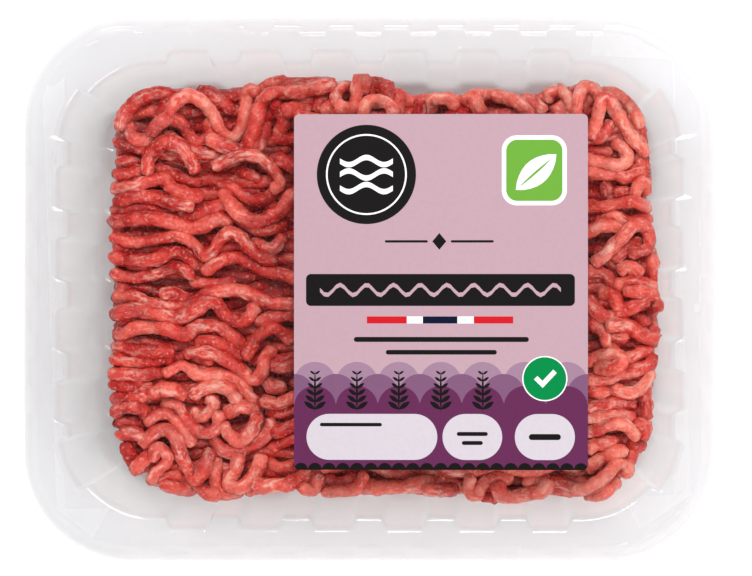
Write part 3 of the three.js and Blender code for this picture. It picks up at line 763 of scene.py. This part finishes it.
def bed_layer(pile, random, spacing=1.5):
    """Plain rows across the heap, which show in the gaps between the strands on top."""
    strands = []
    for y in BED_ROWS:
        x, last = row_span(y, 0)
        while x < last - SHORTEST_ROW:
            end = min(x + random.uniform(24, 70), last)
            knots = np.arange(x, end + 1, 8.0)
            row = np.column_stack([knots, y + random.uniform(-1.6, 1.6, len(knots))])
            x = end + random.uniform(1, 3)
            if len(row) < 3:
                continue
            path = pressed(curve_through(row, spacing), 0.4)
            radius = STRAND_RADIUS * random.uniform(0.92, 1.06)
            centres = turned_down(path, pile.lay(path, radius, spacing), spacing, random)
            # Bed strands are kept darker: painted shade for meat lying under the top strands, plus
            # painted light near the paler edges
            tone_and_shade = random.uniform(0.0, 0.35) + 0.8 * painted_light(path[0 if y > 0 else -1])
            strands.append(strand_of(centres, random, radius, tone_and_shade, spacing))
    return strands


def top_layer(pile, random, spacing=0.85):
    """Rows under the label and the strands in sight, each laid on the last."""
    paths = []
    for y in LABEL_ROWS:
        for left, right in ((-24, 20), (24, 71)):
            knots = np.arange(left, right, 6.5)
            row = np.column_stack([knots, y + random.uniform(-1.9, 1.9, len(knots))])
            paths.append((1, row))
    paths += [(level, np.array(knots).reshape(-1, 2)) for level, *knots in TOP_STRANDS]
    strands = []
    for level, knots in sorted(paths, key=lambda item: item[0]):
        path = curve_through(knots, spacing)
        wander = [smooth_noise(random, len(path), 8, 0.3) for _ in range(2)]
        path = pressed(path + np.column_stack(wander), -0.4)
        radius = STRAND_RADIUS * random.uniform(0.92, 1.12)
        heights = tucked(pile.lay(path, radius, spacing), spacing, random)
        centres = turned_down(path, heights, spacing, random)
        # Higher levels are lighter and lower ones darker: painted shade by depth in the heap, with random
        # variation and painted light near the edges
        tone_and_shade = 0.25 + 0.13 * level + random.uniform(-0.12, 0.2) + painted_light(path[0])
        strands.append(strand_of(centres, random, radius, tone_and_shade, spacing))
    return strands


def side_layer(random, spacing=1.2):
    """Strands that run round the heap, seen through the tray's walls."""
    strands = []
    for height, inset in SIDE_LEVELS:
        outline, _, length = meat_outline(inset)
        at = random.uniform(0, 40)
        finish_at = at + length - 4
        while at < finish_at:
            stop = min(at + random.uniform(14, 46), finish_at)
            knots = np.arange(at, stop, 5.5)
            at = stop + random.uniform(0.5, 2.5)
            if len(knots) < 3:
                continue
            index = (knots / length * len(outline)).astype(int) % len(outline)
            xy = outline[index] + random.uniform(-0.9, 0.9, (len(index), 2))
            z = height + random.uniform(-1.9, 1.9, len(index))
            path = curve_through(np.column_stack([xy, z]), spacing)
            radius = STRAND_RADIUS * random.uniform(0.93, 1.08)
            strands.append(strand_of(path, random, radius, random.uniform(0.3, 0.85), spacing))
    return strands


def foot_layer(random, spacing=2.0):
    """Rows of strands on the tray's floor."""
    strands = []
    for y in FOOT_ROWS:
        x, last = row_span(y, 1.5)
        while x < last - SHORTEST_ROW:
            end = min(x + random.uniform(20, 60), last)
            knots = np.arange(x, end, 6.0)
            x = end + random.uniform(1, 3)
            if len(knots) < 3:
                continue
            heights = 2.5 + random.uniform(-0.25, 0.5, len(knots))
            wander = y + random.uniform(-1.5, 1.5, len(knots))
            path = curve_through(np.column_stack([knots, wander, heights]), spacing)
            path[:, :2] = pressed(path[:, :2], 3.2)
            strands.append(strand_of(path, random, STRAND_RADIUS, random.uniform(0.1, 0.7), spacing))
    return strands


def meat_piece(name, strands, sides, material, random):
    points, quads, tones, grains = tubes(strands, sides)
    for amount, wavelength in ((0.2, 3.4), (0.1, 1.9)):
        swell = [lumps(points, random, amount, wavelength) for _ in range(3)]
        points = points + np.column_stack(swell)
    marked_meat(name, kept_inside(points), quads.tolist(), tones, grains, material)


def marked_meat(name, points, faces, tones, grains, material):
    """Meat with each point's tone, and its place along and across its strand, for the material."""
    piece = mesh_piece(name, points, faces, [material])
    tone_and_shade = piece.data.attributes.new("tone_and_shade", "FLOAT", "POINT")
    tone_and_shade.data.foreach_set("value", np.asarray(tones, np.float32))
    grain = piece.data.attributes.new("grain", "FLOAT_VECTOR", "POINT")
    grain.data.foreach_set("vector", np.asarray(grains, np.float32).ravel())
    shown(piece, "mince")


def core_piece(material, count=200):
    """Plain body inside the heap, which closes the gaps between its strands, in the darkest meat colour
    as painted shade down in the gaps.
    """
    rings = [
        np.column_stack([meat_outline(inset, count)[0], np.full(count, z)])
        for z, inset in CORE_LEVELS
    ]
    points = np.concatenate(rings)
    faces = stacked_faces(count, len(rings))
    # Lightness zero everywhere: painted shade in the gaps between strands
    marked_meat("mince_core", points, faces, np.zeros(len(points)), points, material)


# Sheets


def rounded_rectangle(centre, half, radius, steps=10):
    points = []
    for index, (sx, sy) in enumerate([(1, 1), (-1, 1), (-1, -1), (1, -1)]):
        for angle in np.linspace(0, math.pi / 2, steps + 1) + math.pi / 2 * index:
            points.append((
                centre[0] + sx * (half[0] - radius) + radius * math.cos(angle),
                centre[1] + sy * (half[1] - radius) + radius * math.sin(angle),
            ))
    return points


def disc(centre, radius, steps=96):
    turns = np.linspace(0, 2 * math.pi, steps, endpoint=False)
    return [(centre[0] + radius * math.cos(t), centre[1] + radius * math.sin(t)) for t in turns]


def film_piece(material):
    half = (RIM_HALF[0] - FILM_INSET, RIM_HALF[1] - FILM_INSET)
    outline = rounded_rectangle((0, 0), half, RIM_RADIUS - FILM_INSET, 24)
    points = [(x, y, z) for z in (HEIGHT, HEIGHT + FILM_THICKNESS) for x, y in outline]
    faces = stacked_faces(len(outline), 2)
    shown(mesh_piece("film_sheet", points, faces, [material], smooth=False), "lid_film")


# Label


def label_point(x, y):
    scale = 2 * LABEL_HALF[0] / LABEL_UNITS
    return (LABEL_CENTRE[0] - LABEL_HALF[0] + x * scale, LABEL_CENTRE[1] + LABEL_HALF[1] - y * scale)


def box(left, top, right, bottom):
    return [(left, top), (right, top), (right, bottom), (left, bottom)]


def block(left, top, right, bottom, radius=2.0, steps=6):
    """A box with rounded corners."""
    centre = ((left + right) / 2, (top + bottom) / 2)
    half = ((right - left) / 2, (bottom - top) / 2)
    return rounded_rectangle(centre, half, min(radius, *half) * 0.999, steps)


def scallops(top, radius, shift, foot=358.0):
    """A field with a row of round arches along its upper edge, down to below the label's foot."""
    x = np.linspace(-2, LABEL_UNITS + 2, 300)
    from_middle = (x - shift) % (2 * radius) - radius
    y = top + radius - np.sqrt(radius**2 - from_middle**2)
    return [(LABEL_UNITS + 2, foot), (-2, foot), *zip(x, y)]


def leaf(x, y, length, width, turn):
    """A pointed leaf from its stalk end."""
    along = np.linspace(0, 1, 10)
    bulge = np.sin(along * math.pi) ** 0.8 * width / 2
    c, s = math.cos(turn), math.sin(turn)
    upper = [(x + c * a * length - s * b, y + s * a * length + c * b) for a, b in zip(along, bulge)]
    lower = [(x + c * a * length + s * b, y + s * a * length - c * b) for a, b in zip(along, bulge)]
    return upper + lower[-2:0:-1]


def sprig(x, foot, height, pairs):
    """An upright stalk with leaves in pairs, smaller towards its tip."""
    shapes = []
    for k in range(pairs):
        share = (k + 0.5) / pairs
        size = height * 0.34 * (1 - 0.62 * share)
        for lean in (-0.95, 0.95):
            shapes.append(leaf(x, foot - height * share, size, size * 0.36, lean - math.pi / 2))
    return [*shapes, leaf(x, foot, height * 1.02, height * 0.05, -math.pi / 2)]


def wave_band(left, right, middle, swell, waves, width):
    x = np.linspace(left, right, 60)
    y = middle + swell * np.sin((x - left) / (right - left) * 2 * math.pi * waves)
    return [*zip(x, y - width / 2), *zip(x[::-1], y[::-1] + width / 2)]


def label_fields():
    """Fields of print from back to front, each an ink and an outline in label units."""
    sprigs = [shape for x in range(21, 211, 42) for shape in sprig(x, 299, 42, 6)]
    stripe = ((73, 113, "red"), (113, 129, "white"), (129, 163.6, "navy"), (163.6, 180, "white"),
              (180, 219.4, "red"))
    layers = [
        ("haze", [scallops(248, 21, 0)]),
        ("dusk", [scallops(260, 21, 21)]),
        ("violet", [scallops(272, 21, 0)]),
        ("black", [*sprigs, scallops(349, 7, 0)]),
        ("pale", [block(12.5, 300, 143.5, 346, 23, 14), block(148.7, 300, 208.4, 346, 23, 14),
                  block(221, 300, 281, 346, 23, 14)]),
        ("black", [block(26, 309, 88, 312.5, 1.6), block(163, 318, 194, 322),
                   block(168, 327, 189, 331), block(235, 320, 267, 326, 3),
                   disc((72.5, 60.4), 49.7)]),
        ("white", [disc((72.5, 60.4), 40.5)]),
        ("black", [disc((72.5, 60.4), 38.8)]),
        ("white", [wave_band(46, 99, 47, 3.6, 1.5, 5.4), wave_band(46, 99, 60.4, -3.6, 1.5, 5.4),
                   wave_band(46, 99, 74, 3.6, 1.5, 5.4), block(208, 21.4, 273, 91.4, 15, 12)]),
        ("green", [block(212.4, 25.8, 268.6, 87, 11, 12)]),
        ("white", [leaf(222, 76, 54, 25, -0.72)]),
        ("green", [leaf(225, 73.4, 44, 2.4, -0.72)]),
        ("black", [block(91, 126.2, 134, 128.6, 1.2), block(157, 126.2, 200, 128.6, 1.2),
                   [(145.5, 119), (152.5, 127.4), (145.5, 135.8), (138.5, 127.4)],
                   block(12, 160, 281, 192, 5, 8)]),
        ("mauve", [wave_band(26, 267, 176, 5.2, 9, 4.2)]),
        *((ink, [box(start, 202.5, end, 209.5)]) for start, end, ink in stripe),
        ("black", [block(60, 223, 235, 228, 2.4), block(92, 236, 203, 240.6, 2.2)]),
        ("white", [disc((251, 264.6), 22.6, 80)]),
        ("jade", [disc((251, 264.6), 21.4, 80)]),
        ("white", [[(240.2, 265.4), (243.6, 262), (248.6, 267), (259.4, 255.6), (262.9, 259),
                    (248.8, 273.8)]]),
    ]
    return [(ink, shape) for ink, shapes in layers for shape in shapes]


def label_piece(materials):
    """The label as one sheet, cut along the edges of its print."""
    names = list(INKS)
    fields = label_fields()
    shapes = [rounded_rectangle(LABEL_CENTRE, LABEL_HALF, LABEL_RADIUS)]
    shapes += [[label_point(x, y) for x, y in shape] for _, shape in fields]
    inks = ["mauve"] + [ink for ink, _ in fields]
    coords, loops = [], []
    for shape in shapes:
        if sum(a[0] * b[1] - b[0] * a[1] for a, b in zip(shape, shape[1:] + shape[:1])) < 0:
            shape = shape[::-1]
        loops.append(list(range(len(coords), len(coords) + len(shape))))
        coords += [Vector(p) for p in shape]
    verts, _, triangles, _, _, owners = geometry.delaunay_2d_cdt(coords, [], loops, 0, 1e-5, True)
    faces, face_inks, edges = [], [], set()
    for triangle, owner in zip(triangles, owners):
        area = geometry.area_tri(*[verts[i].to_3d() for i in triangle])
        if 0 in owner and area >= 1e-7:
            faces.append(tuple(triangle))
            face_inks.append(names.index(inks[max(owner)]))
            edges.update(zip(triangle, (*triangle[1:], triangle[0])))
    count = len(verts)
    low = HEIGHT + FILM_THICKNESS
    points = [(v.x, v.y, z) for z in (low + LABEL_THICKNESS, low) for v in verts]
    faces += [tuple(i + count for i in reversed(triangle)) for triangle in faces]
    faces += [(b, a, a + count, b + count) for a, b in sorted(edges) if (b, a) not in edges]
    face_inks += [names.index("white")] * (len(faces) - len(face_inks))
    materials = [materials[name] for name in names]
    shown(mesh_piece("label_print", points, faces, materials, False, face_inks), "label")


# Materials


def tint(rgb):
    """Linear colour with its alpha from screen values of 0 to 255."""
    linear = [c / 255 / 12.92 if c <= 10.3 else ((c / 255 + 0.055) / 1.055) ** 2.4 for c in rgb]
    return (*linear, 1)


class Look:
    """A material with short ways to add its nodes."""

    def __init__(self, name):
        self.material = bpy.data.materials.new(name)
        self.material.use_nodes = True
        self.tree = self.material.node_tree
        self.tree.nodes.clear()

    def node(self, kind, inputs, **settings):
        """A node with its settings, and its inputs as plain values or outputs of other nodes."""
        node = self.tree.nodes.new("ShaderNode" + kind)
        for name, value in settings.items():
            setattr(node, name, value)
        for socket, value in inputs.items():
            if isinstance(value, bpy.types.NodeSocket):
                self.tree.links.new(value, node.inputs[socket])
            else:
                node.inputs[socket].default_value = value
        return node

    def surface(self, shader):
        self.node("OutputMaterial", {"Surface": shader.outputs[0]})
        return self.material

    def attribute(self, name, output):
        return self.node("Attribute", {}, attribute_name=name).outputs[output]

    def place(self):
        return self.node("TexCoord", {}).outputs["Object"]

    def noise(self, scale, detail=3.0, roughness=0.55, place=None):
        if place is None:
            place = self.place()
        inputs = {"Vector": place, "Scale": scale, "Detail": detail, "Roughness": roughness}
        return self.node("TexNoise", inputs).outputs["Fac"]

    def grain_noise(self, along, across, detail, roughness):
        """Noise with its own frequency along and across the strand, per millimetre."""
        inputs = {0: self.attribute("grain", "Vector"), 1: (along, across, across)}
        place = self.node("VectorMath", inputs, operation="MULTIPLY").outputs[0]
        return self.noise(1.0, detail, roughness, place)

    def ranged(self, source, low, high, to_low, to_high):
        inputs = {"Value": source, "From Min": low, "From Max": high, "To Min": to_low,
                  "To Max": to_high}
        return self.node("MapRange", inputs).outputs["Result"]

    def maths(self, operation, *values):
        return self.node("Math", dict(enumerate(values)), operation=operation).outputs[0]

    def ramp(self, source, stops):
        node = self.node("ValToRGB", {"Fac": source})
        elements = node.color_ramp.elements
        while len(elements) < len(stops):
            elements.new(0.5)
        for element, (at, rgb) in zip(elements, stops):
            element.position = at
            element.color = tint(rgb)
        return node.outputs["Color"]

    def mixed(self, factor, a, b):
        return self.node("Mix", {0: factor, 6: a, 7: b}, data_type="RGBA").outputs[2]

    def bumped(self, *layers):
        """A chain of bumps, each a height, a strength and a distance in metres."""
        inputs = {}
        for height, strength, distance in layers:
            inputs.update({"Height": height, "Strength": strength, "Distance": distance})
            inputs["Normal"] = self.node("Bump", inputs).outputs["Normal"]
        return inputs["Normal"]

    def layered(self, factor, under, over):
        return self.node("MixShader", {0: factor, 1: under.outputs[0], 2: over.outputs[0]})

    def sheen(self, straight_on, grazing):
        """Share of light that a thin sheet reflects, the same from either of its sides."""
        facing = self.node("LayerWeight", {"Blend": 0.5}).outputs["Facing"]
        return self.ranged(self.maths("POWER", facing, SHEEN_POWER), 0, 1, straight_on, grazing)


def meat_material():
    """Wet raw mince: red lean in uneven tones, darkened as painted shade where strands lie deep, with
    pale fat smeared along the strands and pale flecks, partly fat and partly painted glints.
    """
    look = Look("raw_mince")
    tone_and_shade = look.attribute("tone_and_shade", "Fac")
    patches = look.noise(210, 5, 0.66)
    grain = look.noise(1250, 3, 0.62)
    wrinkles = look.grain_noise(0.8, 0.3, 4, 0.62)
    streaks = look.grain_noise(0.24, 0.6, 4, 0.65)
    pits = look.noise(560, 3, 0.6)
    # Lightness from random patches and the strand attribute, which carries painted shade for strands
    # lying deep
    shade = look.maths("MULTIPLY_ADD", patches, 1.1, look.ranged(tone_and_shade, 0, 1, -0.4, 0.22))
    aged = look.ranged(look.noise(62), 0.5, 0.66, 0, 0.3)
    lean = look.mixed(aged, look.ramp(shade, LEAN), tint(AGED))
    zone = look.ranged(look.noise(80, 2), 0.44, 0.6, 0.1, 1)
    smear = look.maths("MULTIPLY", look.ranged(streaks, 0.48, 0.66, 0, 0.75), zone)
    fat = look.maths("MULTIPLY", smear, look.ranged(tone_and_shade, 0.1, 0.5, 0.25, 1))
    # Tiny pale flecks all over: partly fat, partly painted glints standing in for wet highlights
    flecks_and_glints = look.ranged(look.noise(820, 2, 0.5), 0.58, 0.7, 0, 0.3)
    return look.surface(look.node("BsdfPrincipled", {
        "Base Color": look.mixed(flecks_and_glints, look.mixed(fat, lean, tint(FAT)), tint(FLECK_AND_GLINT)),
        "Roughness": look.ranged(wrinkles, 0.35, 0.65, 0.12, 0.32),
        "Normal": look.bumped((patches, 0.7, 0.0012), (wrinkles, 0.75, 0.0008),
                              (streaks, 0.5, 0.0006), (grain, 0.5, 0.0003)),
        "Specular IOR Level": 0.12,
        "Subsurface Weight": 0.2,
        "Subsurface Radius": (1.0, 0.28, 0.18),
        "Subsurface Scale": 0.0012,
        "Coat Weight": look.ranged(tone_and_shade, 0.1, 0.5, 0.1, 0.6),
        "Coat Roughness": 0.22,
        "Coat IOR": 1.5,
        "Coat Normal": look.bumped((wrinkles, 0.5, 0.0008), (pits, 0.8, 0.0006)),
    }))


def tray_material():
    """Clear plastic: a faint milky body that lets light glow through, under a sharp shine."""
    look = Look("tray_plastic")
    cloud = look.noise(260)
    height = look.node("SeparateXYZ", {0: look.place()}).outputs["Z"]
    rim = look.ranged(height, 0.034, 0.0385, 0, 1)
    wall = look.ramp(cloud, [(0.3, (247, 251, 252)), (0.7, (251, 254, 254))])
    colour = look.mixed(rim, wall, tint((243, 243, 245)))
    body = look.node("BsdfDiffuse", {"Color": colour})
    glow = look.node("BsdfTranslucent", {"Color": colour})
    clearness = look.mixed(rim, (1, 1, 1, 1), (0.95, 0.95, 0.955, 1))
    clear = look.node("BsdfTransparent", {"Color": clearness})
    gloss = look.node("BsdfGlossy", {
        "Roughness": look.ranged(cloud, 0.3, 0.7, 0.08, 0.13),
        "Normal": look.bumped((look.noise(90, 2), 0.1, 0.001)),
    })
    sheet = look.layered(TRAY_COVER, clear, look.layered(TRAY_GLOW, body, glow))
    return look.surface(look.layered(look.sheen(0.06, TRAY_EDGE), sheet, gloss))


def film_material():
    """Clear film: passes light straight through and only shines."""
    look = Look("lid_plastic")
    clear = look.node("BsdfTransparent", {"Color": (0.995, 0.995, 0.995, 1)})
    gloss = look.node("BsdfGlossy", {
        "Roughness": look.ranged(look.noise(90, 2), 0.3, 0.7, 0.05, 0.12),
        "Normal": look.bumped((look.noise(30, 2), 0.1, 0.001)),
    })
    return look.surface(look.layered(look.sheen(0.007, FILM_EDGE), clear, gloss))


def ink_material(name, rgb):
    """Matt print, very slightly mottled."""
    look = Look("ink_" + name)
    mottle = look.noise(900, 2)
    dark = [c * 0.985 for c in rgb]
    return look.surface(look.node("BsdfPrincipled", {
        "Base Color": look.ramp(mottle, [(0.35, dark), (0.65, rgb)]),
        "Roughness": look.ranged(mottle, 0.3, 0.7, 0.42, 0.5),
        "Specular IOR Level": 0.06,
    }))


def floor_material():
    look = Look("studio_floor")
    colour = look.ramp(look.noise(3, 2), [(0.3, (251, 251, 252)), (0.7, (253, 253, 253))])
    return look.surface(look.node("BsdfPrincipled", {"Base Color": colour, "Roughness": 0.8}))


# Stage


def area_light(name, at, size, power):
    lamp = bpy.data.lights.new(name, "AREA")
    lamp.shape = "RECTANGLE"
    lamp.size, lamp.size_y = size
    lamp.energy = power
    holder = placed(name, lamp)
    holder.location = at
    holder.rotation_mode = "QUATERNION"
    holder.rotation_quaternion = (Vector(LIGHT_AIM) - Vector(at)).to_track_quat("-Z", "Y")


def set_stage():
    scene = bpy.context.scene
    scene.world = bpy.data.worlds.new("studio")
    scene.world.use_nodes = True
    background = scene.world.node_tree.nodes["Background"]
    background.inputs["Color"].default_value = (1, 1, 1, 1)
    background.inputs["Strength"].default_value = WORLD_STRENGTH
    scene.view_settings.view_transform = "Standard"
    for light in LIGHTS:
        area_light(*light)
    signs = ((-1, -1), (1, -1), (1, 1), (-1, 1))
    corners = [(x * FLOOR_HALF, y * FLOOR_HALF, -FLOOR_GAP) for x, y in signs]
    mesh_piece("floor", corners, [(0, 1, 2, 3)], [floor_material()])


def set_camera():
    camera = placed("camera", bpy.data.cameras.new("camera"))
    camera.data.sensor_width = 36
    camera.data.lens = CAMERA_LENS
    camera.data.shift_x = CAMERA_SHIFT
    camera.data.clip_start = 0.01
    camera.data.clip_end = 20
    camera.location = Vector(CAMERA_AT) * MM
    back = (camera.location - Vector(CAMERA_AIM) * MM).normalized()
    right = Vector((0, 1, 0)).cross(back).normalized()
    camera.rotation_mode = "QUATERNION"
    camera.rotation_quaternion = Matrix((right, back.cross(right), back)).transposed().to_quaternion()
    bpy.context.scene.camera = camera


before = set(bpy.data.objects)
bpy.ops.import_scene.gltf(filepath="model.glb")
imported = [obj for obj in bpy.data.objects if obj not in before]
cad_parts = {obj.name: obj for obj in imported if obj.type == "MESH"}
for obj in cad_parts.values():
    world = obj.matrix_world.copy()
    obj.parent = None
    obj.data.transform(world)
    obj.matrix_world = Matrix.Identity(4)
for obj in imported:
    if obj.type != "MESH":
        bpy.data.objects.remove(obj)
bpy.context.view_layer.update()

random = np.random.default_rng(SEED)
meat = meat_material()
pile = Pile(PILE_TOP)
bed = bed_layer(pile, random)
top = top_layer(pile, random)
meat_piece("mince_bed", bed, 8, meat, random)
meat_piece("mince_top", top, 12, meat, random)
meat_piece("mince_sides", side_layer(random), 10, meat, random)
meat_piece("mince_foot", foot_layer(random), 8, meat, random)
core_piece(meat)

tray_piece(tray_material())
film_piece(film_material())
label_piece({name: ink_material(name, rgb) for name, rgb in INKS.items()})

set_stage()
set_camera()
